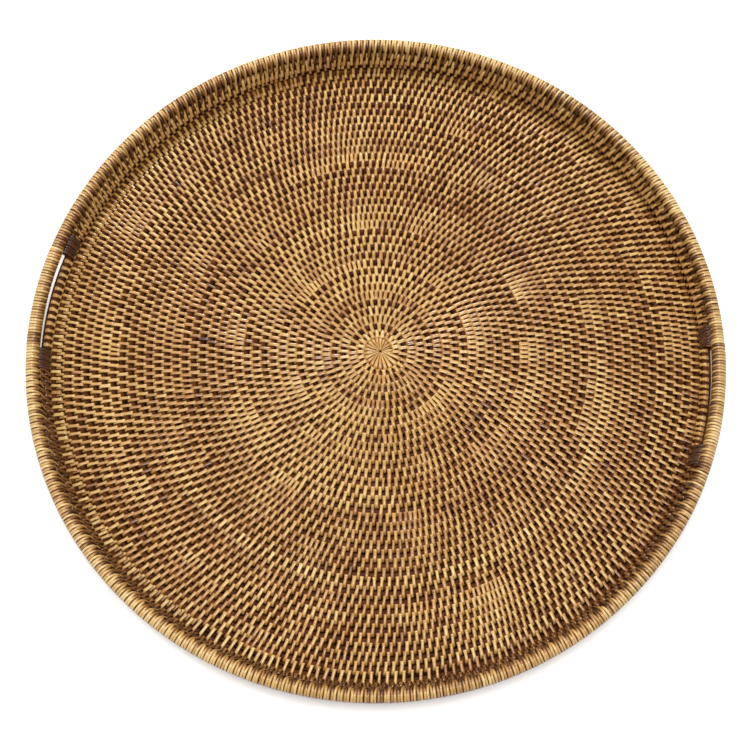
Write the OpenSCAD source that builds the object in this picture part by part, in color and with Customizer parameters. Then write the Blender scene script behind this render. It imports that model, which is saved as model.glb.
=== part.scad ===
// Round serving tray of coiled rattan: a flat spiral base, a low flared wall with
// two handle slots, and a thick wrapped rim hoop.
// The origin is on the surface the tray stands on, under its middle. +Z is up,
// and the two handle slots lie on the X axis, left at -X and right at +X.

/* [Base coil] */
// Rows of the flat base, from the middle to its edge
base_rows = 37; // [31:1:40]
// Distance from one row to the next
row_pitch = 7.75; // [7.7:0.05:9]
// Diameter of the rattan rod inside every row
rod_d = 6.4; // [5.6:0.1:6.4]
// Longest rod that the base coil is spliced from
rod_length = 3600; // [3500:50:3900]

/* [Stitching] */
// Thickness of the rattan peel round a rod
peel_t = 0.5; // [0.3:0.05:0.5]
// Free space between a rod and the peel round it
peel_gap = 0.1; // [0.05:0.01:0.1]
// How far the peel under the base is pressed flat
press_flat = 0.2; // [0.1:0.05:0.3]

/* [Wall] */
// Lower wall row: how far out from the base's edge row
lower_row_out = 5.2; // [5:0.1:7]
// Lower wall row: how far above the base's edge row
lower_row_up = 6.6; // [6.5:0.1:8]
// Upper wall row: how far out from the lower one
upper_row_out = 2.8; // [0:0.1:4]
// Upper wall row: how far above the lower one
upper_row_up = 7.7; // [7.7:0.1:9]

/* [Rim] */
// Diameter of the rim hoop inside its wrapping
rim_d = 10.4; // [8:0.1:10.4]
// Thickness of the peel wound round the rim
rim_peel_t = 0.6; // [0.3:0.05:0.6]
// Rim hoop: how far out from the upper wall row
rim_out = 4.35; // [2:0.05:6]
// Rim hoop: how far above the upper wall row
rim_up = 10.8; // [10.6:0.1:16]

/* [Handle slots] */
// Length of each handle slot, along the wall
slot_length = 92; // [70:1:120]
// Length of the dark binding at each end of a slot
binding_length = 18; // [10:1:25]
// Thickness of that binding outside the stitching
binding_t = 0.4; // [0.2:0.05:0.4]

/* [Coil eye] */
// Outer diameter of the small ring that the coil starts on
eye_d = 7.8; // [6:0.1:7.8]
// Thickness of that ring
eye_t = 2.6; // [1.6:0.1:3]

/* [Hidden] */
$fn = 48;
clear = 0.05; // between a binding and the stitching inside it
rod_r = rod_d / 2;
peel_inner_r = rod_r + peel_gap;
peel_outer_r = peel_inner_r + peel_t;
rim_r = rim_d / 2;
rim_peel_inner_r = rim_r + peel_gap;
rim_peel_outer_r = rim_peel_inner_r + rim_peel_t;
base_z = peel_outer_r - press_flat;

// Centre of each ring-shaped row's section: [radius, height]
edge_row = [base_rows * row_pitch, base_z];
lower_row = edge_row + [lower_row_out, lower_row_up];
upper_row = lower_row + [upper_row_out, upper_row_up];
rim_row = upper_row + [rim_out, rim_up];

// Angles along the wall, in degrees
slot_half = slot_length / upper_row[0] * 90 / PI;
binding_span = binding_length / upper_row[0] * 180 / PI;
wall_span = 180 - 2 * slot_half;
lashing_start = slot_half + binding_span;
lashing_span = 180 - 2 * lashing_start;
lashing_w = 1.2;
binding_r = peel_outer_r + clear + binding_t;

// The spiral is laid in half turns. Half turn i starts at radius
// half_turn_start(i), on +X for an even i and on -X for an odd one, and its
// centre lies a quarter of a pitch off the middle, so that it ends half a
// pitch further out and the next one carries on from there.
spiral_turns = base_rows - 2;
half_turns = 2 * spiral_turns;
function half_turn_start(i) = row_pitch * (1 + i / 2);
function half_turn_r(i) = half_turn_start(i) + row_pitch / 4;
function run_before(i) = PI * row_pitch * (1.25 * i + i * (i - 1) / 4);
function rod_of(i) = floor(run_before(i) / rod_length);
base_rods = 1 + rod_of(half_turns - 1);

// Past its last full turn the rod is shaved down to nothing within one turn.
// spiral_growth is how far a turn has moved out at angle a, in pitches.
taper_steps = 54;
taper_step = 6;
taper_sides = 12;
taper_peel = 3.6 / 3.8;
function spiral_growth(a) =
    a < 180 ? (1 - cos(a)) / 4 : 1 / 2 + (1 - cos(a - 180)) / 4;
function taper_point(r, a, b) = let (
        g = spiral_growth(a),
        centre = half_turn_start(half_turns) + row_pitch * g / 2,
        x = centre + r * (1 - g) * cos(b)
    ) [x * cos(a), x * sin(a), base_z + r * (1 - g) * sin(b)];

// Colours
rod_colour = [0.36, 0.2, 0.1];
peel_colour = [0.76, 0.55, 0.3];
rim_colour = [0.82, 0.64, 0.38];
wall_colour = [0.66, 0.4, 0.2];
binding_colour = [0.27, 0.17, 0.12];

stitching_zones = ["centre", "inner", "middle", "outer"];

// Sections, drawn round the middle of a row
module rod_section(r) {
    circle(r);
}

module peel_section(inner, outer) {
    difference() {
        circle(outer);
        circle(inner);
    }
}

// Peel round a row of the base, pressed flat on the underside
module base_peel_section() {
    difference() {
        circle(peel_outer_r);
        circle(peel_inner_r);
        translate([-peel_outer_r, -peel_outer_r - base_z])
            square([2 * peel_outer_r, peel_outer_r]);
    }
}

// Sweeps a section along a level arc round Z: at = [radius, height]
module level_arc(at, start = 0, span = 360) {
    rotate([0, 0, start])
        rotate_extrude(angle = span)
            translate(at)
                children();
}

// Sweeps a section along half turns first to last of the base spiral
module spiral(first, last) {
    for (i = [first:last])
        rotate([0, 0, i % 2 == 0 ? 0 : 180])
            translate([-row_pitch / 4, 0, 0])
                rotate_extrude(angle = 180)
                    translate([half_turn_r(i), base_z])
                        children();
}

// The shaved end of the coil, with radius r where it starts
module taper_sweep(r) {
    rings = [for (s = [0:taper_steps - 1], b = [0:taper_sides - 1])
        taper_point(r, s * taper_step, b * 360 / taper_sides)];
    sides = [for (s = [0:taper_steps - 2], b = [0:taper_sides - 1])
        let (c = (b + 1) % taper_sides, low = s * taper_sides, high = low + taper_sides)
        each [[low + b, low + c, high + b], [low + c, high + c, high + b]]];
    start_cap = [for (b = [taper_sides - 1:-1:0]) b];
    end_cap = [for (b = [0:taper_sides - 1]) (taper_steps - 1) * taper_sides + b];
    polyhedron(rings, concat(sides, [start_cap, end_cap]), convexity = 10);
}

module coil_eye() {
    color(rod_colour)
        level_arc([(eye_d - eye_t) / 2, base_z])
            rod_section(eye_t / 2);
}

module base_rod(n) {
    mine = [for (i = [0:half_turns - 1]) if (rod_of(i) == n - 1) i];
    color(rod_colour)
        spiral(mine[0], mine[len(mine) - 1])
            rod_section(rod_r);
}

module base_stitching(zone) {
    share = half_turns / len(stitching_zones);
    color(peel_colour)
        spiral(round(zone * share), round((zone + 1) * share) - 1)
            base_peel_section();
}

module coil_tail_rod() {
    color(rod_colour)
        taper_sweep(rod_r);
}

module coil_tail_stitching() {
    color(peel_colour)
        difference() {
            taper_sweep(peel_outer_r * taper_peel);
            taper_sweep(peel_inner_r);
        }
}

module base_edge_rod() {
    color(rod_colour)
        level_arc(edge_row)
            rod_section(rod_r);
}

module base_edge_stitching() {
    color(peel_colour)
        for (turn = [0, 180])
            level_arc(edge_row, turn, 180)
                base_peel_section();
}

module lower_wall_rod() {
    color(rod_colour)
        level_arc(lower_row)
            rod_section(rod_r);
}

module lower_wall_stitching() {
    color(wall_colour)
        level_arc(lower_row)
            peel_section(peel_inner_r, peel_outer_r);
}

// The upper wall row stops at the slots: turn is 0 for the far half, 180 for the near one
module upper_wall_rod(turn) {
    color(rod_colour)
        level_arc(upper_row, turn + slot_half, wall_span)
            rod_section(rod_r);
}

module upper_wall_stitching(turn) {
    color(wall_colour)
        level_arc(upper_row, turn + slot_half, wall_span)
            peel_section(peel_inner_r, peel_outer_r);
}

// Strands that tie the rim down to the upper wall row
module rim_lashing(turn) {
    up = rim_row - upper_row;
    color(wall_colour)
        level_arc([0, 0], turn + lashing_start, lashing_span)
            difference() {
                translate(upper_row)
                    rotate(atan2(up[1], up[0]))
                        translate([0, -lashing_w / 2])
                            square([norm(up), lashing_w]);
                translate(upper_row)
                    circle(peel_outer_r + clear);
                translate(rim_row)
                    circle(rim_peel_outer_r + clear);
            }
}

module rim_hoop() {
    color(rod_colour)
        level_arc(rim_row)
            rod_section(rim_r);
}

module rim_wrapping(start, span) {
    color(rim_colour)
        level_arc(rim_row, start, span)
            peel_section(rim_peel_inner_r, rim_peel_outer_r);
}

// Dark peel bound round both wall rows where a slot ends
module slot_binding(start) {
    up = upper_row - lower_row;
    color(binding_colour)
        level_arc([0, 0], start, binding_span)
            difference() {
                union() {
                    translate(lower_row)
                        circle(binding_r);
                    translate(upper_row)
                        circle(binding_r);
                    translate(lower_row)
                        rotate(atan2(up[1], up[0]))
                            translate([0, -binding_r])
                                square([norm(up), 2 * binding_r]);
                }
                translate(lower_row)
                    circle(peel_outer_r + clear);
                translate(upper_row)
                    circle(peel_outer_r + clear);
            }
}

coil_eye();
for (n = [1:base_rods])
    base_rod(n);
for (zone = [0:len(stitching_zones) - 1])
    base_stitching(zone);
coil_tail_rod();
coil_tail_stitching();
base_edge_rod();
base_edge_stitching();
lower_wall_rod();
lower_wall_stitching();
upper_wall_rod(0);  // upper_wall_rod_far
upper_wall_rod(180);  // upper_wall_rod_near
upper_wall_stitching(0);  // upper_wall_stitching_far
upper_wall_stitching(180);  // upper_wall_stitching_near
rim_lashing(0);  // rim_lashing_far
rim_lashing(180);  // rim_lashing_near
rim_hoop();
rim_wrapping(slot_half, wall_span);  // rim_wrapping_far
rim_wrapping(180 + slot_half, wall_span);  // rim_wrapping_near
rim_wrapping(180 - slot_half, 2 * slot_half);  // handle_wrapping_left
rim_wrapping(-slot_half, 2 * slot_half);  // handle_wrapping_right
slot_binding(180 - slot_half - binding_span);  // slot_binding_left_far
slot_binding(180 + slot_half);  // slot_binding_left_near
slot_binding(slot_half);  // slot_binding_right_far
slot_binding(-slot_half - binding_span);  // slot_binding_right_near
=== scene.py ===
"""A round serving tray of coiled rattan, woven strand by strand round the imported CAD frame.

Every row of the tray is a rattan rod. A strand of split peel binds each rod: it comes up
outside the rod, passes over it and dives into the middle of the row before. Lengths are
in metres and angles in radians, counter-clockwise from +X as seen from above.
"""
import math

import bpy
import numpy as np
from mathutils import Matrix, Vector


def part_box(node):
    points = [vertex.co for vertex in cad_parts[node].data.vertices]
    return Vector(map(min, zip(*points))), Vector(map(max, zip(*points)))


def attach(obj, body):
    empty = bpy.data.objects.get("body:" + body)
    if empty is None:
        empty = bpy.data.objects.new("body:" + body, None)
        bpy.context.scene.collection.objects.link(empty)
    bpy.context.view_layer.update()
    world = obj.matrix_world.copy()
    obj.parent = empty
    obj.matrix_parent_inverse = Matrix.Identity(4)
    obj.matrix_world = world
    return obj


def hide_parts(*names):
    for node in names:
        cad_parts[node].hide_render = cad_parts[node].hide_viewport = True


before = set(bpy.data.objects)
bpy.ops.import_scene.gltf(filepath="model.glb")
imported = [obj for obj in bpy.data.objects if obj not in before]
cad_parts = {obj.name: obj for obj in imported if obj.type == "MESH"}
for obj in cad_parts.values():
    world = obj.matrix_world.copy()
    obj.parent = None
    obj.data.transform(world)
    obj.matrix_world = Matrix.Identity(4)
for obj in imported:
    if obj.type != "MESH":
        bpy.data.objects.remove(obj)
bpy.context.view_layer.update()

MM = 0.001
TURN = 2 * math.pi
rng = np.random.default_rng(37)


# ---------------------------------------------------------------- sizes from the frame

edge_low, edge_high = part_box("base_edge_rod")
lower_low, lower_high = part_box("lower_wall_rod")
upper_low, upper_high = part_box("upper_wall_rod_far")
hoop_low, hoop_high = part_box("rim_hoop")
wrap_low, wrap_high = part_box("rim_wrapping_far")
eye_low, eye_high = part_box("coil_eye")
handle_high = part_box("handle_wrapping_right")[1]
binding_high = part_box("slot_binding_right_far")[1]

BASE_ROWS = 37
SPIRAL_TURNS = BASE_ROWS - 2
ROD_R = (edge_high.z - edge_low.z) / 2
EDGE_R = edge_high.x - ROD_R
PITCH = EDGE_R / BASE_ROWS
HOOP_R = (hoop_high.z - hoop_low.z) / 2
WRAP_R = (wrap_high.z - wrap_low.z) / 2
EYE_ROD_R = (eye_high.z - eye_low.z) / 2

# Middle of each ring-shaped row's section: radius, height
EDGE_ROW = np.array([EDGE_R, (edge_low.z + edge_high.z) / 2])
LOWER_ROW = np.array([lower_high.x - ROD_R, (lower_low.z + lower_high.z) / 2])
UPPER_ROW = np.array([upper_high.y - ROD_R, (upper_low.z + upper_high.z) / 2])
RIM_ROW = np.array([hoop_high.x - HOOP_R, (hoop_low.z + hoop_high.z) / 2])
BASE_Z = EDGE_ROW[1]

# Half the angle of a handle slot, and the angle of the binding at its end
SLOT_HALF = math.asin(handle_high.y / (RIM_ROW[0] + WRAP_R))
BINDING_END = math.asin(binding_high.y / binding_high.x)

# The coil was started a little off the tray's middle
COIL_SHIFT = np.array([4.1, 1.5]) * MM

# Width and thickness of a strand; those nearer the middle of the base are wider
STRAND_W = 3.0 * MM
WALL_STRAND_W = 3.1 * MM
INNER_WIDER = 0.14
STRAND_T = 0.8 * MM
WIDTH_SPREAD = 0.07
THICKNESS_SPREAD = 0.1

# Stitches along a row, how far past the middle of a gap each one dives, and how many
# pitches wide a gap is, at least and at most, where it begins to take two
STITCH_PITCH = 6.5 * MM
STAGGER = 0.6 * MM
WIDE_GAP = (1.12, 1.3)
CENTRE_STITCHES = 22
EYE_HOLE_R = 1.6 * MM

# How deep a stitch dives, as a share of the way to the row before
DIVE_SHARE = 0.92
SECOND_DIVE_SHARE = 0.6
LOWER_DIVE_SHARE = 0.45
UPPER_DIVE_SHARE = 0.95

# The rods, and how far those of the base spread towards their neighbours
ROD_LENGTH = 3.6
BASE_SPREAD = 0.53 * PITCH
ROD_SIDES = 16
ROD_RING_STEP = 4 * MM

# Section of a strand of peel: across its width, and up from its underside's middle
PEEL_SECTION = np.array([
    [-0.5, 0.0], [-0.33, 0.42], [0.0, 0.58], [0.33, 0.42], [0.5, 0.0], [0.34, -0.4], [-0.34, -0.4],
])


# ---------------------------------------------------------------- mesh code

def shift_coil(points):
    """Moves points near the middle by COIL_SHIFT, fading to nothing at the edge row."""
    r2 = (points[..., 0] ** 2 + points[..., 1] ** 2) / EDGE_R ** 2
    fade = np.clip(1 - r2, 0, 1)[..., None]
    moved = points.copy()
    moved[..., :2] += COIL_SHIFT * fade
    return moved


def unit(v):
    return v / np.maximum(np.linalg.norm(v, axis=-1, keepdims=True), 1e-12)


def new_piece(name, verts, loops, starts, totals, material, smooth=True):
    """Makes a mesh object from flat arrays of corners and polygons."""
    mesh = bpy.data.meshes.new(name)
    mesh.vertices.add(len(verts))
    mesh.vertices.foreach_set("co", verts.astype(np.float32).ravel())
    mesh.loops.add(len(loops))
    mesh.loops.foreach_set("vertex_index", loops.astype(np.int32))
    mesh.polygons.add(len(starts))
    mesh.polygons.foreach_set("loop_start", starts.astype(np.int32))
    mesh.polygons.foreach_set("loop_total", totals.astype(np.int32))
    mesh.update(calc_edges=True)
    mesh.polygons.foreach_set("use_smooth", np.full(len(starts), smooth))
    mesh.materials.append(material)
    piece = bpy.data.objects.new(name, mesh)
    bpy.context.scene.collection.objects.link(piece)
    return piece


def add_attribute(piece, name, values):
    """Stores three numbers per point, for the materials to read."""
    attribute = piece.data.attributes.new(name, "FLOAT_VECTOR", "POINT")
    attribute.data.foreach_set("vector", values.astype(np.float32).ravel())


def tube_faces(count, length, sides, closed):
    """Corners of the quads between sections and of open tubes' end caps, and their sizes."""
    index = np.arange(count * length * sides).reshape(count, length, sides)
    after = np.roll(index, -1, axis=1) if closed else index[:, 1:]
    before = index if closed else index[:, :-1]
    quads = np.stack([before, np.roll(before, -1, 2), np.roll(after, -1, 2), after], -1)
    loops = quads.reshape(-1)
    totals = np.full(len(loops) // 4, 4)
    if not closed:
        caps = np.concatenate([index[:, 0, ::-1], index[:, -1]]).reshape(-1)
        loops = np.concatenate([loops, caps])
        totals = np.concatenate([totals, np.full(2 * count, sides)])
    return loops, totals


def fibre_places(rings):
    """Each point's place across its tube, the length along it and the tube's own number."""
    centres = rings.mean(axis=2)
    steps = np.linalg.norm(np.diff(centres, axis=1, prepend=centres[:, :1]), axis=-1)
    fibre = np.zeros(rings.shape)
    fibre[..., 0] = across_strand(rings.shape[2])
    fibre[..., 1] = np.cumsum(steps, axis=1)[:, :, None]
    fibre[..., 2] = (rng.random(len(rings)) * 10)[:, None, None]
    return fibre


def tubes(name, rings, material, tone, closed=False):
    """Skins sections into tubes. rings has the axes tube, ring, point of the section, xyz.

    tone holds lightness, redness and a number of its own for each tube, or for each of
    its rings. The materials read it as "strand", and fibre_places as "fibre".
    """
    count, length, sides, _ = rings.shape
    loops, totals = tube_faces(count, length, sides, closed)
    starts = np.cumsum(totals) - totals
    piece = new_piece(name, rings.reshape(-1, 3), loops, starts, totals, material)
    add_attribute(piece, "fibre", fibre_places(rings))
    by_ring = tone[:, None, None, :] if tone.ndim == 2 else tone[:, :, None, :]
    add_attribute(piece, "strand", np.broadcast_to(by_ring, rings.shape))
    return piece


def across_strand(sides):
    """How far each point of a section is from the strand's middle line, 0 to 1."""
    if sides == len(PEEL_SECTION):
        return np.abs(PEEL_SECTION[:, 0]) * 2
    return np.zeros(sides)


def peel_sections(path, along, outward, width, thickness):
    """Sections of flat peel across each path. outward points away from what it binds."""
    across = unit(np.cross(along, outward))
    up = np.cross(across, along)
    s = PEEL_SECTION[:, 0] * width[..., None]
    h = PEEL_SECTION[:, 1] * thickness[..., None]
    return path[:, :, None] + across[:, :, None] * s[..., None] + up[:, :, None] * h[..., None]


def peel_rings(path, outward, width, thickness):
    """Sections of strands that have two ends."""
    along = unit(np.gradient(path, axis=1))
    return peel_sections(path, along, outward, width, thickness)


def closed_peel_rings(path, outward, width):
    """Sections of strands that close on themselves. width has one number per strand."""
    along = unit(np.roll(path, -1, 1) - np.roll(path, 1, 1))
    shape = np.ones(path.shape[:2])
    return peel_sections(path, along, outward, width[:, None] * shape, STRAND_T * shape)


def round_tray(angle, radius, height):
    """Points, or directions, that have this radius and height at these angles."""
    x = radius * np.cos(angle)
    y = radius * np.sin(angle)
    return np.stack([x, y, height * np.ones_like(x)], -1)


def rod_section(before=0.0, after=0.0):
    """Section of a rod: round above, and spread below to meet the rows beside it.

    before and after are how far it spreads towards the row before and the next one. Where
    that is less than its radius it stays round.
    """
    angle = np.arange(ROD_SIDES) * TURN / ROD_SIDES
    cos, sin = np.cos(angle), np.sin(angle)
    reach = np.where(cos > 0, after, before)
    spread = np.sign(cos) * np.abs(cos) ** 0.35 * reach
    return np.where((sin < -0.1) & (reach > ROD_R), spread, cos * ROD_R), sin * ROD_R


def ring_rings(angle, radius, height, out, section, share):
    """Sections along one rod that runs round the tray.

    out is the direction, as radius and height, from the row before; share is how much of
    the rod's thickness is left at each angle.
    """
    s = section[0] * share[:, None]
    h = section[1] * share[:, None]
    r = radius[:, None] + s * out[0] - h * out[1]
    z = height + s * out[1] + h * out[0]
    return round_tray(angle[:, None], r, z)[None]


def finish_piece(piece, slot, *nodes):
    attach(piece, "root")
    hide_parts(*nodes)


# ---------------------------------------------------------------- the coil's shape

def growth(angle):
    """How far a turn of the coil has moved out at this angle, in pitches."""
    a = np.mod(angle, TURN)
    first = (1 - np.cos(a)) / 4
    second = 1 / 2 + (1 - np.cos(a - math.pi)) / 4
    return np.where(a < math.pi, first, second)


def coil_radius(run):
    """Radius of the coil after run radians. Its shaved tail moves out half as fast."""
    turn = np.floor(run / TURN + 1e-9)
    full = PITCH * (1 + turn + growth(run))
    tail = PITCH * (1 + turn + growth(run) / 2)
    return np.where(turn < SPIRAL_TURNS, full, tail)


# The edge row's stitches bind the tail too, once this share of its thickness is gone. The
# tail stops just short of a full turn
THIN_TAIL = 0.65
TAIL_TURNS = 0.98


def is_thin_tail(angle):
    return growth(angle) > THIN_TAIL


def rod_thickness(run):
    """Share of the rod's thickness that is left: all of it, up to the shaved tail."""
    return np.where(run < SPIRAL_TURNS * TURN, 1.0, 1 - growth(run))


def half_turn_runs():
    """Length of coil before each half turn, as the rods are spliced by it."""
    i = np.arange(2 * SPIRAL_TURNS)
    return math.pi * PITCH * (1.25 * i + i * (i - 1) / 4)


# ---------------------------------------------------------------- where the stitches go

def next_gap_points(start, end, radius):
    """A stitch dives between each two of the row before; a wide gap takes two."""
    stagger = STAGGER / radius
    if end - start > STITCH_PITCH * rng.uniform(*WIDE_GAP) / radius:
        quarter = (end - start) / 4
        return [start + quarter + stagger, end - quarter + stagger]
    return [(start + end) / 2 + stagger]


def relax(points, place):
    """Moves one point, counted from the end, towards the middle of its neighbours."""
    middle = (points[place - 1] + points[place + 1]) / 2
    points[place] += 0.5 * (middle - points[place])


def coil_stitches():
    """Runs, in radians along the coil, of all stitches of the spiral and its tail."""
    runs = list(np.arange(CENTRE_STITCHES) * TURN / CENTRE_STITCHES)
    last = (SPIRAL_TURNS + 1) * TURN
    k = 0
    while runs[-1] < last:
        radius = float(coil_radius(runs[k] + TURN))
        for run in next_gap_points(runs[k], runs[k + 1], radius):
            runs.append(run + TURN)
            for place in (-4, -7, -10):
                relax(runs, place)
        k += 1
    runs = np.array(runs)
    return runs[runs < last - 0.5 * STITCH_PITCH / EDGE_R]


def ring_stitches(before, radius):
    """Angles of the stitches of a closed row, from those of the row inside it."""
    found = []
    for start, end in zip(before, np.append(before[1:], before[0] + TURN)):
        found += next_gap_points(start, end, radius)
    return np.array(found)


# ---------------------------------------------------------------- stitches

# A stitch's way up its rod, as angles round it; 90 degrees is the top
ROUND_ROD = np.radians([-50, -22, 5, 32, 58, 80])

# How far a stitch sags between the rod's top and the place where it dives
SAG = 0.12 * MM


def stitch_profile(dive, flat):
    """Way of each stitch across its rod: u is outward from the rod's middle, w is up.

    dive is how far in from the rod's middle the stitch goes down, and flat is how far
    below the middle it is pressed flat.
    """
    reach = ROD_R + 0.22 * MM
    ones = np.ones_like(dive)
    u = [-dive - 0.1 * MM, -dive + 0.25 * MM, -dive + 1.3 * MM, -dive / 2, 0 * ones]
    w = [-2.0 * MM * ones, -0.9 * flat * ones, -flat * ones, -flat * ones, -flat * ones]
    for angle in ROUND_ROD:
        u.append(reach * math.cos(angle) * ones)
        w.append(reach * math.sin(angle) * ones)
    top = reach + 0.05 * MM
    u += [-0.25 * dive, -dive / 2, -dive + 1.6 * MM]
    w += [top * ones, (top - SAG) * ones, top * ones]
    u += [-dive + 0.5 * MM, -dive - 0.05 * MM, -dive - 0.3 * MM]
    w += [(top - 0.25 * MM) * ones, 2.2 * MM * ones, 0.6 * MM * ones]
    return np.stack(u, 1), np.stack(w, 1)


def lean_at(angle, radius):
    """How much the stitches lean: their outer end is turned clockwise, more at the edge."""
    share = np.clip(radius / EDGE_R, 0, 1)
    return np.radians(1.5 + 4.5 * share ** 1.5 + 1.5 * np.sin(angle * 2 - 0.4))


def stitch_strands(angle, row_out, row_up, inward, dive, flat, lean, step):
    """Paths of stitches and the directions away from their rod.

    row_out and row_up place each stitch's rod; inward is the direction, as radius and
    height, from the rod to the row that it is bound to. step is the angle from the
    stitch before.
    """
    u, w = stitch_profile(dive, flat)
    back_to_last = np.clip(1 - np.arange(u.shape[1]) / 5.0, 0, 1)
    v = -np.tan(lean)[:, None] * u - back_to_last * (step * row_out)[:, None]
    a = angle[:, None] + v / row_out[:, None]
    out = -inward
    up = np.stack([-out[:, 1], out[:, 0]], 1)
    r = row_out[:, None] + u * out[:, :1] + w * up[:, :1]
    z = row_up[:, None] + u * out[:, 1:] + w * up[:, 1:]
    away_u, away_w = np.gradient(w, axis=1), -np.gradient(u, axis=1)
    away_r = away_u * out[:, :1] + away_w * up[:, :1]
    away_z = away_u * out[:, 1:] + away_w * up[:, 1:]
    return round_tray(a, r, z), unit(round_tray(a, away_r, away_z))


def uneven_dive(dive):
    """No two stitches dive equally far."""
    return dive * (0.97 + 0.06 * rng.random(len(dive)))


def stitch_sizes(width):
    """Width of stitches along their path, from a width for each, and their thickness."""
    count = len(width)
    by_point = (width * rng.normal(1, WIDTH_SPREAD, count))[:, None] * STITCH_WIDTH
    thickness = STRAND_T * rng.normal(1, THICKNESS_SPREAD, count)[:, None]
    return by_point, thickness * np.ones(by_point.shape)


def peel_lengths(count, shortest, longest):
    """Number of the length of peel that each stitch is sewn with."""
    ends = np.cumsum(rng.integers(shortest, longest, 2 + count // shortest))
    return np.searchsorted(ends, np.arange(count), side="right")


# Tones run from 0, dark, to 1, light. A length of peel has its own, and so has a strand
MIDDLE_TONE = 0.6
LIGHTEST_TONE = 0.88
STRAND_TONE_SPREAD = 0.07
MIDDLE_RED = 0.35
PEEL_RED_SPREAD = 0.14
STRAND_RED_SPREAD = 0.1

# Broad patches of tone over the tray, read at a point on each strand's way up
PATCH_TONE = 0.04
PATCH_POINT = 8

# A few strands are much darker than the rest
DARK_SHARE = 0.015
DARK_DROP = 0.25


def strand_tones(path, lift=0.0, redden=0.0, lengths=(14, 90), spread=0.06):
    """Lightness, redness and a number of its own for each strand.

    A length of peel keeps its tone over many stitches, so tones come in arcs.
    """
    count = len(path)
    peel = peel_lengths(count, *lengths)
    light_of = rng.normal(0, spread, peel.max() + 1)
    red_of = rng.normal(0, PEEL_RED_SPREAD, peel.max() + 1)
    x = path[:, PATCH_POINT, 0] / EDGE_R
    y = path[:, PATCH_POINT, 1] / EDGE_R
    patches = PATCH_TONE * np.sin(6 * x + 4 * y + 1) * np.sin(5 * y - 3 * x)
    light = MIDDLE_TONE + lift + patches + light_of[peel]
    light = light + rng.normal(0, STRAND_TONE_SPREAD, count)
    light = np.where(rng.random(count) < DARK_SHARE, light - DARK_DROP, light)
    light = np.minimum(light, LIGHTEST_TONE)
    red = MIDDLE_RED + redden - patches + red_of[peel]
    red = red + rng.normal(0, STRAND_RED_SPREAD, count)
    tone = np.stack([light, np.clip(red, 0, 1), rng.random(count)], 1)
    return np.repeat(tone[:, None], path.shape[1], axis=1)


# Painted shade: a stitch is darker where it turns down between the rods, and lighter on its crest
STITCH_LIT_SHARE = np.array([0, 0, 0, 0, 0, 0.2, 0.5, 0.7, 0.85, 0.95, 1, 1, 1, 1, 0.95, 0.8, 0.5])
TURN_DOWN_PAINTED_SHADE = 0.22

# The peel is pressed wider where it turns down
STITCH_WIDTH = np.array([
    1, 1, 1, 1, 1, 1.1, 1.35, 1.45, 1.35, 1.12, 1, 0.95, 0.95, 1.08, 1.35, 1.45, 1.3,
])


def stitch_tones(path, lift=0.0, redden=0.0):
    tone = strand_tones(path, lift, redden)
    # Painted shade where the stitch turns down
    tone[..., 0] -= TURN_DOWN_PAINTED_SHADE * (1 - STITCH_LIT_SHARE)
    return tone


# How much the lean of single stitches differs, in degrees
BASE_LEAN_SPREAD = 2.2
RING_LEAN_SPREAD = 2.5

# How far below a base rod's middle its stitches are pressed flat
FLOOR_FLAT = BASE_Z - 0.22 * MM

# The stitches over the eye are worn lighter than the others
EYE_LIFT = 0.12


def steps_between(angle):
    """The angle from each stitch to the one before it."""
    return np.diff(angle, prepend=angle[0] - (angle[1] - angle[0]))


def squeeze_tail(path, runs):
    """Lowers the stitches over the coil's shaved tail."""
    full = rod_thickness(runs)[:, None]
    squeezed = BASE_Z + (path[..., 2] - BASE_Z) * (0.35 + 0.65 * full)
    path[..., 2] = np.where(full < 1, np.maximum(squeezed, 0.25 * MM), path[..., 2])


def narrow_at_eye(width, path, runs):
    """Narrows the stitches of the first row where they crowd round the eye's hole."""
    distance = np.hypot(path[..., 0], path[..., 1])
    crowd = TURN * distance / CENTRE_STITCHES * 0.95
    narrow = np.minimum(width, np.maximum(crowd, 0.9 * MM))
    return np.where(runs[:, None] < TURN, narrow, width)


def coil_strands(runs):
    """Sections and tones of all stitches of the spiral and its tail."""
    count = len(runs)
    radius = coil_radius(runs)
    share = np.where(runs < 2 * TURN, SECOND_DIVE_SHARE, DIVE_SHARE)
    dive = np.where(runs < TURN, radius - EYE_HOLE_R, uneven_dive(PITCH * share))
    lean = lean_at(runs, radius) + np.radians(rng.normal(0, BASE_LEAN_SPREAD, count))
    inward = np.tile([-1.0, 0.0], (count, 1))
    path, outward = stitch_strands(
        runs, radius, np.full(count, BASE_Z), inward, dive, FLOOR_FLAT, lean, steps_between(runs))
    squeeze_tail(path, runs)
    wider = 1 + INNER_WIDER * (1 - (radius / EDGE_R) ** 2)
    width, thickness = stitch_sizes(STRAND_W * wider)
    rings = peel_rings(path, outward, narrow_at_eye(width, path, runs), thickness)
    rings[..., 2] = np.maximum(rings[..., 2], 0)
    tone = stitch_tones(path)
    tone[runs < TURN, :, 0] += EYE_LIFT
    return rings, tone


def ring_strands(angle, row, row_before, dive_share, flat, strand_width, lift, redden):
    """Sections and tones of the stitches of a ring-shaped row that is bound to row_before."""
    count = len(angle)
    towards = row_before - row
    gap = np.linalg.norm(towards)
    inward = np.tile(towards / gap, (count, 1))
    dive = uneven_dive(gap * dive_share * np.ones(count))
    step = np.minimum(steps_between(angle), STITCH_PITCH / row[0])
    lean = lean_at(angle, row[0]) + np.radians(rng.normal(0, RING_LEAN_SPREAD, count))
    path, outward = stitch_strands(
        angle, np.full(count, row[0]), np.full(count, row[1]), inward, dive, flat, lean, step)
    width, thickness = stitch_sizes(np.full(count, strand_width))
    rings = peel_rings(path, outward, width, thickness)
    rings[..., 2] = np.maximum(rings[..., 2], 0)
    return rings, stitch_tones(path, lift, redden)


# ---------------------------------------------------------------- materials

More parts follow.
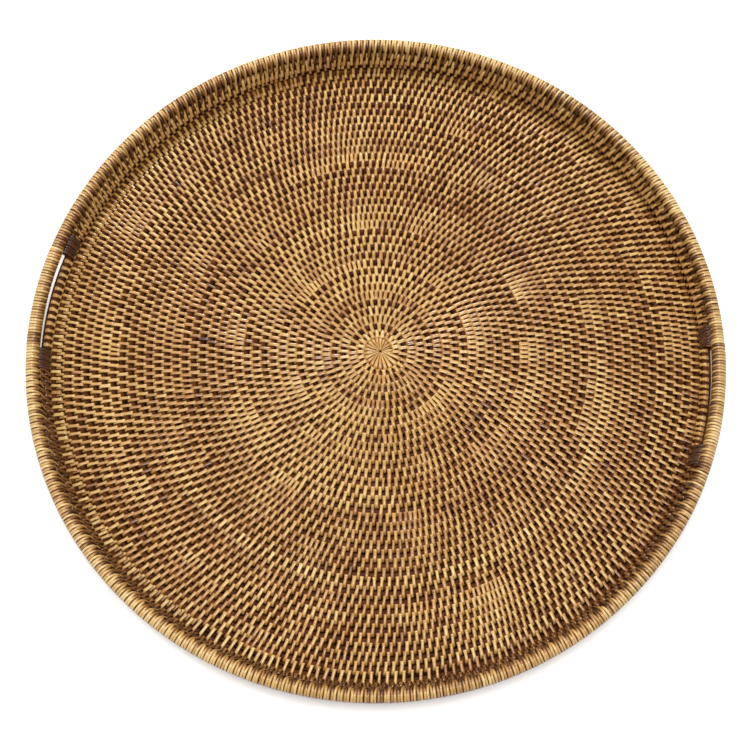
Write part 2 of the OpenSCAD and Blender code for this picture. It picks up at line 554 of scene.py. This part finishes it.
def node_material(name):
    material = bpy.data.materials.new(name)
    material.use_nodes = True
    return material, material.node_tree.nodes, material.node_tree.links


def math_node(nodes, links, kind, a, b):
    node = nodes.new("ShaderNodeMath")
    node.operation = kind
    for socket, value in zip(node.inputs, (a, b)):
        if isinstance(value, (int, float)):
            socket.default_value = value
        else:
            links.new(value, socket)
    return node.outputs[0]


def ramp_node(nodes, links, factor, stops):
    ramp = nodes.new("ShaderNodeValToRGB")
    elements = ramp.color_ramp.elements
    while len(elements) < len(stops):
        elements.new(0.5)
    for element, (place, colour) in zip(elements, stops):
        element.position = place
        element.color = (*colour, 1)
    links.new(factor, ramp.inputs[0])
    return ramp.outputs[0]


def tint_node(nodes, links, factor, colour, tint):
    """Multiplies a colour by a tint, as far as the factor says."""
    mix = nodes.new("ShaderNodeMix")
    mix.data_type = "RGBA"
    mix.blend_type = "MULTIPLY"
    links.new(factor, mix.inputs[0])
    links.new(colour, mix.inputs[6])
    mix.inputs[7].default_value = (*tint, 1)
    return mix.outputs[2]


def noise_node(nodes, links, vector, scale, detail=2.0):
    noise = nodes.new("ShaderNodeTexNoise")
    noise.inputs["Scale"].default_value = scale
    noise.inputs["Detail"].default_value = detail
    links.new(vector, noise.inputs["Vector"])
    return noise.outputs["Fac"]


def fibre_vector(nodes, links, across, along):
    """Coordinates along a strand, stretched so that noise becomes fibres."""
    attribute = nodes.new("ShaderNodeAttribute")
    attribute.attribute_name = "fibre"
    mapping = nodes.new("ShaderNodeMapping")
    mapping.inputs["Scale"].default_value = (across, along, 7.0)
    links.new(attribute.outputs["Vector"], mapping.inputs["Vector"])
    return mapping.outputs["Vector"]


def rough_node(nodes, links, factor, low, high, shader):
    """Roughness that runs from low to high with the factor."""
    rough = nodes.new("ShaderNodeMapRange")
    rough.inputs["To Min"].default_value = low
    rough.inputs["To Max"].default_value = high
    links.new(factor, rough.inputs["Value"])
    links.new(rough.outputs[0], shader.inputs["Roughness"])


def attribute_parts(nodes, links, name):
    """The three numbers of a point attribute."""
    attribute = nodes.new("ShaderNodeAttribute")
    attribute.attribute_name = name
    parts = nodes.new("ShaderNodeSeparateXYZ")
    links.new(attribute.outputs["Vector"], parts.inputs[0])
    return parts.outputs


def bump_node(nodes, links, height, distance, shader, strength):
    bump = nodes.new("ShaderNodeBump")
    bump.inputs["Strength"].default_value = strength
    bump.inputs["Distance"].default_value = distance
    links.new(height, bump.inputs["Height"])
    links.new(bump.outputs["Normal"], shader.inputs["Normal"])


# How a strand's fibres and flecks are stretched, across it and along it, and their scales
FIBRE_STRETCH = (3.0, 60.0)
FLECK_STRETCH = (0.6, 260.0)
FIBRE_SCALE = 2.0
FLECK_SCALE = 1.0

# How much its tone changes with its fibres and flecks, and the painted shade towards its edges
FIBRE_TONE = 0.34
FLECK_TONE = 0.3
EDGE_PAINTED_SHADE = 0.2

# Scales of the blotches and the grain of a mottled surface
BLOTCH_SCALE = 110.0
GRAIN_SCALE = 700.0


def vary_tone(nodes, links, tone, noise, amount):
    """Lightens and darkens a tone by noise, by half of amount each way."""
    added = math_node(nodes, links, "MULTIPLY_ADD", noise, amount)
    links.new(tone, added.node.inputs[2])
    return math_node(nodes, links, "SUBTRACT", added, amount / 2)


def peel_material(name, stops, red, gloss):
    """Lacquered split peel: a tone for each strand, fine fibres, flecks and painted shade at its
    edges.
    """
    material, nodes, links = node_material(name)
    shader = nodes["Principled BSDF"]
    lightness, redness, _ = attribute_parts(nodes, links, "strand")
    across, _, _ = attribute_parts(nodes, links, "fibre")
    fibres = noise_node(nodes, links, fibre_vector(nodes, links, *FIBRE_STRETCH), FIBRE_SCALE)
    flecks = noise_node(nodes, links, fibre_vector(nodes, links, *FLECK_STRETCH), FLECK_SCALE)
    tone = vary_tone(nodes, links, lightness, fibres, FIBRE_TONE)
    tone = vary_tone(nodes, links, tone, flecks, FLECK_TONE)
    # Painted shade: darker towards the strand's edges
    edge = math_node(nodes, links, "POWER", across, 2.0)
    edge = math_node(nodes, links, "MULTIPLY", edge, EDGE_PAINTED_SHADE)
    tone = math_node(nodes, links, "SUBTRACT", tone, edge)
    colour = ramp_node(nodes, links, tone, stops)
    redness = math_node(nodes, links, "MULTIPLY", redness, 0.75)
    colour = tint_node(nodes, links, redness, colour, red)
    links.new(colour, shader.inputs["Base Color"])
    rough_node(nodes, links, fibres, gloss + 0.16, gloss - 0.08, shader)
    shader.inputs["Specular IOR Level"].default_value = 0.25
    shader.inputs["Coat Weight"].default_value = 0.5
    shader.inputs["Coat Roughness"].default_value = 0.16
    bump_node(nodes, links, fibres, 0.00009, shader, 0.7)
    return material


def mottled_material(name, dark, light, roughness):
    """A mottled matt surface: fine grain and blotches between two colours."""
    material, nodes, links = node_material(name)
    shader = nodes["Principled BSDF"]
    place = nodes.new("ShaderNodeTexCoord").outputs["Object"]
    blotches = noise_node(nodes, links, place, BLOTCH_SCALE, 3.0)
    grain = noise_node(nodes, links, place, GRAIN_SCALE, 2.0)
    both = math_node(nodes, links, "ADD", blotches, grain)
    share = math_node(nodes, links, "MULTIPLY", both, 0.5)
    colour = ramp_node(nodes, links, share, [(0.35, dark), (0.68, light)])
    links.new(colour, shader.inputs["Base Color"])
    rough_node(nodes, links, grain, roughness, roughness + 0.2, shader)
    shader.inputs["Specular IOR Level"].default_value = 0.04
    bump_node(nodes, links, grain, 0.0001, shader, 0.6)
    return material


# Colours are linear RGB
BASE_STOPS = [
    (0.0, (0.045, 0.013, 0.004)),
    (0.25, (0.165, 0.062, 0.014)),
    (0.5, (0.335, 0.178, 0.045)),
    (0.75, (0.47, 0.31, 0.10)),
    (1.0, (0.58, 0.455, 0.21)),
]
WALL_STOPS = [
    (0.0, (0.04, 0.012, 0.004)),
    (0.35, (0.18, 0.066, 0.016)),
    (0.65, (0.38, 0.185, 0.048)),
    (1.0, (0.60, 0.39, 0.13)),
]
RIM_STOPS = [
    (0.0, (0.045, 0.015, 0.005)),
    (0.3, (0.20, 0.088, 0.022)),
    (0.6, (0.44, 0.27, 0.085)),
    (1.0, (0.68, 0.54, 0.27)),
]
BINDING_STOPS = [
    (0.0, (0.018, 0.008, 0.005)),
    (0.5, (0.062, 0.025, 0.012)),
    (1.0, (0.17, 0.072, 0.035)),
]
RED_TINT = (0.92, 0.62, 0.45)

base_peel = peel_material("base_peel_strands", BASE_STOPS, RED_TINT, 0.34)
wall_peel = peel_material("wall_peel_strands", WALL_STOPS, RED_TINT, 0.36)
rim_peel = peel_material("rim_peel_strands", RIM_STOPS, RED_TINT, 0.36)
binding_peel = peel_material("binding_peel_strands", BINDING_STOPS, RED_TINT, 0.3)
bare_rod = mottled_material("bare_rattan_rod", (0.007, 0.0014, 0.0004), (0.12, 0.037, 0.009), 0.4)
floor_paint = mottled_material("pale_floor", (0.95, 0.95, 0.95), (0.98, 0.98, 0.98), 0.7)


# ---------------------------------------------------------------- rods

LEVEL = np.array([1.0, 0.0])


def spiral_rod(name, first_run, last_run, node):
    """One rod of the base coil, from first_run to last_run radians along it."""
    radius = float(coil_radius(np.array((first_run + last_run) / 2)))
    count = int((last_run - first_run) * radius / ROD_RING_STEP) + 2
    run = np.linspace(first_run + 1e-6, last_run - 1e-6, count)
    share = np.maximum(rod_thickness(run), 0.06)
    section = rod_section(BASE_SPREAD, BASE_SPREAD)
    rings = ring_rings(run, coil_radius(run), BASE_Z, LEVEL, section, share)
    piece = tubes(name, shift_coil(rings), bare_rod, rng.random((1, 3)))
    finish_piece(piece, "rattan_rod", node)


def ring_rod(name, row, out, section, start, end):
    """The rod of a ring-shaped row, from start to end radians round the tray."""
    count = int((end - start) * row[0] / ROD_RING_STEP)
    closed = end - start == TURN
    angle = np.linspace(start, end, count, endpoint=not closed)
    rings = ring_rings(angle, np.full(count, row[0]), row[1], out, section, np.ones(count))
    piece = tubes(name + "_rattan", rings, bare_rod, rng.random((1, 3)), closed=closed)
    finish_piece(piece, "rattan_rod", name)


def make_ring_rods():
    """The edge row of the base and the rows of the wall, spread to meet each other."""
    lower_gap = np.linalg.norm(LOWER_ROW - EDGE_ROW)
    upper_gap = np.linalg.norm(UPPER_ROW - LOWER_ROW)
    rim_gap = np.linalg.norm(RIM_ROW - UPPER_ROW)
    lower_out = (LOWER_ROW - EDGE_ROW) / lower_gap
    upper_out = (UPPER_ROW - LOWER_ROW) / upper_gap
    meet = upper_gap / 2 + 0.7 * MM
    meet_rim = rim_gap - HOOP_R + 1.0 * MM
    ring_rod("base_edge_rod", EDGE_ROW, LEVEL, rod_section(BASE_SPREAD), 0, TURN)
    lower_section = rod_section(lower_gap - ROD_R + 0.5 * MM, meet)
    ring_rod("lower_wall_rod", LOWER_ROW, lower_out, lower_section, 0, TURN)
    for side, start in (("far", 0.0), ("near", math.pi)):
        ring_rod(f"upper_wall_rod_{side}", UPPER_ROW, upper_out, rod_section(meet, meet_rim),
                 start + SLOT_HALF, start + math.pi - SLOT_HALF)


def make_base_rods():
    """The rods that the coil is spliced from, and its shaved tail."""
    rod_of = (half_turn_runs() // ROD_LENGTH).astype(int)
    for n in range(rod_of.max() + 1):
        mine = np.flatnonzero(rod_of == n)
        name = f"base_rod_{n + 1}"
        spiral_rod(name + "_rattan", mine[0] * math.pi, (mine[-1] + 1) * math.pi, name)
    spiral_rod("coil_tail_rod_rattan", SPIRAL_TURNS * TURN, (SPIRAL_TURNS + TAIL_TURNS) * TURN,
               "coil_tail_rod")


EYE_RINGS = 40


def make_eye():
    angle = np.arange(EYE_RINGS) * TURN / EYE_RINGS
    radius = np.full(EYE_RINGS, eye_high.x - EYE_ROD_R)
    share = np.full(EYE_RINGS, EYE_ROD_R / ROD_R)
    rings = shift_coil(ring_rings(angle, radius, BASE_Z, LEVEL, rod_section(), share))
    piece = tubes("coil_eye_rattan", rings, bare_rod, rng.random((1, 3)), closed=True)
    finish_piece(piece, "rattan_rod", "coil_eye")


# ---------------------------------------------------------------- stitching of the base

# Strands in one piece, so that no piece is over 200,000 triangles
MOST_STITCHES = 850


def make_strands(name, rings, tone, material, slot, node):
    """Makes the strands of one CAD node, in as many pieces as they need."""
    parts = math.ceil(len(rings) / MOST_STITCHES)
    for k, share in enumerate(np.array_split(np.arange(len(rings)), parts)):
        label = f"{name}_strands" if parts == 1 else f"{name}_strands_{k + 1}"
        piece = tubes(label, rings[share], material, tone[share])
        finish_piece(piece, slot, node)


def make_base_stitching(runs):
    """The stitches of the coil, in the zones that the CAD nodes have."""
    rings, tone = coil_strands(runs)
    rings = shift_coil(rings)
    half_turn = np.floor(runs / math.pi)
    zones = ["centre", "inner", "middle", "outer"]
    share = 2 * SPIRAL_TURNS / len(zones)
    ends = [0] + [math.floor(share * (k + 1) + 0.5) for k in range(len(zones))]
    for k, zone in enumerate(zones):
        mine = (half_turn >= ends[k]) & (half_turn < ends[k + 1])
        name = f"base_stitching_{zone}"
        make_strands(name, rings[mine], tone[mine], base_peel, "base_peel", name)
    tail = half_turn >= ends[-1]
    make_strands("coil_tail_stitching", rings[tail], tone[tail], base_peel, "base_peel",
                 "coil_tail_stitching")


# ---------------------------------------------------------------- wall and rim

def outside_slots(angle):
    """True where the wall has its upper row."""
    off = np.abs(np.mod(angle + math.pi / 2, math.pi) - math.pi / 2)
    return off > SLOT_HALF


def is_far(angle):
    return np.sin(angle) > 0


# The wall's stitches lie this far from the middle of their rod where they are pressed flat
WALL_FLAT = ROD_R + 0.2 * MM

# Painted shade on the wall: on the lower row away from the slots, where the upper row covers it,
# and on the near side of each row
LOWER_ROW_PAINTED_SHADE = 0.25
NEAR_LOWER_PAINTED_SHADE = 0.15
NEAR_UPPER_PAINTED_SHADE = 0.6


def make_edge_stitching(angle):
    over_tail = np.where(is_thin_tail(angle), 1 - growth(angle), 0.0)
    rings, tone = ring_strands(angle, EDGE_ROW, EDGE_ROW - [PITCH, 0], DIVE_SHARE + over_tail,
                               FLOOR_FLAT, STRAND_W, 0.0, 0.0)
    make_strands("base_edge_stitching", rings, tone, base_peel, "base_peel", "base_edge_stitching")


def make_lower_stitching(angle):
    rings, tone = ring_strands(angle, LOWER_ROW, EDGE_ROW, LOWER_DIVE_SHARE, WALL_FLAT,
                               STRAND_W, 0.05, -0.1)
    # Painted shade on the lower row under the upper row, and more on the near side
    tone[outside_slots(angle), :, 0] -= LOWER_ROW_PAINTED_SHADE
    tone[outside_slots(angle) & ~is_far(angle), :, 0] -= NEAR_LOWER_PAINTED_SHADE
    make_strands("lower_wall_stitching", rings, tone, base_peel, "base_peel",
                 "lower_wall_stitching")


def make_upper_stitching(angle):
    rings, tone = ring_strands(angle, UPPER_ROW, LOWER_ROW, UPPER_DIVE_SHARE, WALL_FLAT,
                               WALL_STRAND_W, 0.36, -0.1)
    # Painted shade on the near side of the upper row
    tone[~is_far(angle), :, 0] -= NEAR_UPPER_PAINTED_SHADE
    for side, mine in (("far", is_far(angle)), ("near", ~is_far(angle))):
        name = f"upper_wall_stitching_{side}"
        make_strands(name, rings[mine], tone[mine], wall_peel, "wall_peel", name)


def make_ring_stitching(tail_angle):
    """The stitches of the edge row and the wall, each row's from those of the row before."""
    edge_angle = ring_stitches(tail_angle, EDGE_R)
    make_edge_stitching(edge_angle)
    lower_angle = ring_stitches(edge_angle, LOWER_ROW[0])
    make_lower_stitching(lower_angle)
    upper_angle = ring_stitches(lower_angle, UPPER_ROW[0])
    make_upper_stitching(upper_angle[outside_slots(upper_angle)])


WRAP_PITCH = 2.65 * MM
WRAP_POINTS = 24

# Painted shade on the rim's strands where they face the tray's inside or outside: every second one
# gets less of it inside the tray
INNER_PAINTED_SHADE = 0.4
LESS_PAINTED_SHADE = 0.55
MORE_PAINTED_SHADE = 1.35
OUTER_PAINTED_SHADE = 0.35


def rim_tones(path, out, lift, redden):
    """Tones of strands on the rim: painted shade where they face the tray's inside or outside.

    out is how far each point of the path faces away from the tray, from 1 to -1.
    """
    tone = strand_tones(path, lift, redden, lengths=(3, 26), spread=0.1)
    # Painted shade where the strands face the tray's inside, and where they face outward
    deep = np.where(np.arange(len(path)) % 2 == 0, LESS_PAINTED_SHADE, MORE_PAINTED_SHADE)[:, None]
    tone[..., 0] -= INNER_PAINTED_SHADE * deep * np.clip(0.1 - out, 0, 1)
    tone[..., 0] -= OUTER_PAINTED_SHADE * np.clip((out - 0.8) / 0.2, 0, 1)
    return tone


def wrap_strands(angle, reach, width, lean, lift, redden):
    """Strands wound once round the rim, reach from its middle. Each closes on itself."""
    round_it = np.arange(WRAP_POINTS) * TURN / WRAP_POINTS
    a = angle[:, None] + np.sin(round_it) * lean / RIM_ROW[0]
    out = np.cos(round_it)
    up = np.sin(round_it)
    path = round_tray(a, RIM_ROW[0] + out * reach, RIM_ROW[1] + up * reach)
    rings = closed_peel_rings(path, round_tray(a, out, up), width)
    return rings, rim_tones(path, out, lift, redden)


# Points of a lashing: inside the wall, then round the rim, then outside the wall. Those on
# the wall are how far they lie from the upper row towards the rim, and away from the wall
INSIDE_WALL = np.array([[-0.3, 3.2], [1.2, 3.6], [3.2, 4.1], [5.0, 4.5], [6.8, 5.0]]) * MM
OUTSIDE_WALL = np.array([[6.5, 4.9], [3.2, 4.1], [0.0, 3.75], [-2.2, 3.35], [-4.4, 2.3]]) * MM
RIM_POINTS = 11

# A lashing leans until its point at the rim's top, and it is spread wide outside the wall
LEANING_POINTS = 9
LASHING_WIDTH = np.array([2.3] * (5 + RIM_POINTS - 2) + [2.7, 3.8, 4.9, 5, 5, 4.8, 4.5]) * MM


def lashing_way():
    """Way of a lashing, as radius and height, and the directions away from what it binds.

    It comes up inside the wall, over the upper row and the rim, and down outside them.
    """
    climb = unit(RIM_ROW - UPPER_ROW)
    inner = np.array([-climb[1], climb[0]])
    side = math.atan2(inner[1], inner[0])
    inside = UPPER_ROW + INSIDE_WALL[:, :1] * climb + INSIDE_WALL[:, 1:] * inner
    outside = UPPER_ROW + OUTSIDE_WALL[:, :1] * climb - OUTSIDE_WALL[:, 1:] * inner
    turn = np.linspace(side, side - math.pi, RIM_POINTS)
    away = np.stack([np.cos(turn), np.sin(turn)], 1)
    place = np.concatenate([inside, RIM_ROW + (HOOP_R + 0.3 * MM) * away, outside])
    facing = np.concatenate([[inner] * len(inside), away, [-inner] * len(outside)])
    return place, facing


def lashing_strands(angle, lean):
    """The strands that tie the rim to the upper wall row."""
    count = len(angle)
    place, facing = lashing_way()
    steps = np.diff(place, axis=0, prepend=place[:1])
    climb = np.cumsum(np.linalg.norm(steps, axis=1))
    slant = 1.0 - np.clip(climb / climb[LEANING_POINTS], 0, 1) ** 0.7
    a = angle[:, None] + slant * lean[:, None] / RIM_ROW[0]
    path = round_tray(a, place[:, 0], place[:, 1])
    outward = round_tray(a, facing[:, 0], facing[:, 1])
    width = LASHING_WIDTH * rng.normal(1, 0.05, count)[:, None]
    thickness = STRAND_T * np.ones(path.shape[:2])
    return peel_rings(path, outward, width, thickness), rim_tones(path, facing[:, 0], 0.15, -0.1)


def uneven_places(start, end, unevenness):
    """Angles of strands side by side round the rim, each a little off its place."""
    count = round((end - start) * RIM_ROW[0] / WRAP_PITCH)
    even = start + (np.arange(count) + 0.5) * (end - start) / count
    return even + rng.normal(0, unevenness, count) * WRAP_PITCH / RIM_ROW[0]


def make_rim_wraps(node, rings, tone):
    piece = tubes(node + "_strands", rings, rim_peel, tone, closed=True)
    finish_piece(piece, "rim_peel", node)


def make_handle_wraps(side, middle):
    """Round a handle all strands are plain wraps."""
    angle = uneven_places(middle - SLOT_HALF, middle + SLOT_HALF, 0.05)
    width = WRAP_PITCH * 0.95 * rng.normal(1, 0.05, len(angle))
    rings, tone = wrap_strands(angle, HOOP_R + 0.5 * MM, width, 0.8 * MM, 0.14, -0.15)
    make_rim_wraps(f"handle_wrapping_{side}", rings, tone)


def make_lashed_rim(side, first, last):
    """Elsewhere every second strand is a lashing, apart from those at the bindings."""
    angle = uneven_places(first, last, 0.04)
    binding = BINDING_END - SLOT_HALF
    lashed = np.arange(len(angle)) % 2 == 0
    lashed &= (angle > first + binding) & (angle < last - binding)
    plain = angle[~lashed]
    width = WRAP_PITCH * 0.97 * rng.normal(1, 0.05, len(plain))
    rings, tone = wrap_strands(plain, HOOP_R + 0.25 * MM, width, 0.5 * MM, 0.13, -0.15)
    make_rim_wraps(f"rim_wrapping_{side}", rings, tone)
    lean = rng.normal(3.4, 0.5, lashed.sum()) * MM
    rings, tone = lashing_strands(angle[lashed], lean)
    name = f"rim_lashing_{side}"
    make_strands(name, rings, tone, rim_peel, "rim_peel", name)


def make_rim():
    make_handle_wraps("right", 0.0)
    make_handle_wraps("left", math.pi)
    make_lashed_rim("far", SLOT_HALF, math.pi - SLOT_HALF)
    make_lashed_rim("near", math.pi + SLOT_HALF, TURN - SLOT_HALF)


# ---------------------------------------------------------------- slot bindings

BINDING_WRAPS = 7
BINDING_POINTS = 36


def capsule_way(low, high, reach, points):
    """Points round two rows held together, and the directions away from them."""
    towards = high - low
    gap = np.linalg.norm(towards)
    tilt = math.atan2(towards[1], towards[0])
    length = 2 * gap + TURN * reach
    place, out = [], []
    for k in range(points):
        s = length * k / points
        arc = math.pi * reach
        if s < arc:
            angle, centre, slide = tilt - math.pi / 2 + s / reach, high, 0.0
        elif s < arc + gap:
            angle, centre, slide = tilt + math.pi / 2, high, -(s - arc)
        elif s < 2 * arc + gap:
            angle, centre, slide = tilt + math.pi / 2 + (s - arc - gap) / reach, low, 0.0
        else:
            angle, centre, slide = tilt - math.pi / 2, low, s - 2 * arc - gap
        away = np.array([math.cos(angle), math.sin(angle)])
        place.append(centre + away * reach + towards / gap * slide)
        out.append(away)
    return np.array(place), np.array(out)


def make_binding(name, start, end):
    """Dark peel wound over both wall rows where a slot ends."""
    to_rim = unit(RIM_ROW - UPPER_ROW) * 1.6 * MM
    place, out = capsule_way(LOWER_ROW, UPPER_ROW + to_rim, ROD_R + 0.8 * MM, BINDING_POINTS)
    middle = start + (np.arange(BINDING_WRAPS) + 0.5) * (end - start) / BINDING_WRAPS
    wobble = rng.normal(0, 0.2, BINDING_WRAPS) * MM / UPPER_ROW[0]
    slant = np.sin(np.arange(BINDING_POINTS) * TURN / BINDING_POINTS) * 0.5 * MM / UPPER_ROW[0]
    a = (middle + wobble)[:, None] + slant
    path = round_tray(a, place[:, 0], place[:, 1])
    outward = round_tray(a, out[:, 0], out[:, 1])
    width = (end - start) * UPPER_ROW[0] / BINDING_WRAPS * 1.06
    rings = closed_peel_rings(path, outward, np.full(BINDING_WRAPS, width))
    tone = np.stack([rng.uniform(0.3, 0.6, BINDING_WRAPS), rng.random(BINDING_WRAPS) * 0.5,
                     rng.random(BINDING_WRAPS)], 1)
    piece = tubes(name + "_strands", rings, binding_peel, tone, closed=True)
    finish_piece(piece, "dark_binding", name)


def make_bindings():
    span = BINDING_END - SLOT_HALF
    make_binding("slot_binding_right_far", SLOT_HALF, SLOT_HALF + span)
    make_binding("slot_binding_right_near", -SLOT_HALF - span, -SLOT_HALF)
    make_binding("slot_binding_left_far", math.pi - SLOT_HALF - span, math.pi - SLOT_HALF)
    make_binding("slot_binding_left_near", math.pi + SLOT_HALF, math.pi + SLOT_HALF + span)


def dress_rim_hoop():
    """The hoop stays as CAD made it, and gets the bare rattan."""
    for material_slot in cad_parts["rim_hoop"].material_slots:
        material_slot.material = bare_rod


# ---------------------------------------------------------------- floor, light and camera

FLOOR_HALF = 4.0


def make_floor():
    """A pale floor, a hair below the tray so that the two don't share a plane."""
    corners = np.array([[-1, -1], [1, -1], [1, 1], [-1, 1]]) * FLOOR_HALF
    verts = np.column_stack([corners, np.full(4, -0.3 * MM)])
    floor = new_piece("studio_floor", verts, np.arange(4), np.array([0]), np.array([4]),
                      floor_paint, smooth=False)


def look_rotation(direction):
    return Vector(direction).to_track_quat("-Z", "Y").to_euler()


def add_area_light(name, place, size, power, colour):
    """A round softbox that faces the tray's middle."""
    light = bpy.data.lights.new(name, "AREA")
    light.shape = "DISK"
    light.size = size
    light.energy = power
    light.color = colour
    lamp = bpy.data.objects.new(name, light)
    bpy.context.scene.collection.objects.link(lamp)
    lamp.location = place
    lamp.rotation_euler = look_rotation(-np.array(place))


def make_lights():
    add_area_light("overhead_softbox", (0.1, -0.25, 2.2), 1.1, 37, (1, 0.99, 0.97))
    add_area_light("left_softbox", (-1.9, 0.7, 1.7), 0.9, 14, (1, 1, 1))
    add_area_light("back_softbox", (-0.4, 1.9, 1.9), 0.5, 38, (1, 1, 1))
    world = bpy.data.worlds.new("studio")
    world.use_nodes = True
    background = world.node_tree.nodes["Background"]
    background.inputs["Color"].default_value = (1, 1, 1, 1)
    background.inputs["Strength"].default_value = 0.6
    bpy.context.scene.world = world
    bpy.context.scene.view_settings.view_transform = "Standard"


def make_camera():
    """Looks down from the near side, as steeply as the photograph was taken."""
    data = bpy.data.cameras.new("camera")
    data.sensor_width = 36
    data.lens = 61.34
    data.clip_start = 0.05
    camera = bpy.data.objects.new("camera", data)
    bpy.context.scene.collection.objects.link(camera)
    place = np.array([0.0558, -0.3651, 1.0829])
    aim = np.array([0.0028, -0.0214, 0.0074])
    camera.location = place
    camera.rotation_euler = look_rotation(aim - place)
    bpy.context.scene.camera = camera


make_camera()
make_lights()
make_floor()
make_base_rods()
make_eye()
make_ring_rods()
coil_runs = coil_stitches()
on_tail = coil_runs >= SPIRAL_TURNS * TURN
make_base_stitching(coil_runs[~(on_tail & is_thin_tail(coil_runs))])
make_ring_stitching(np.mod(coil_runs[on_tail], TURN))
make_rim()
make_bindings()
dress_rim_hoop()
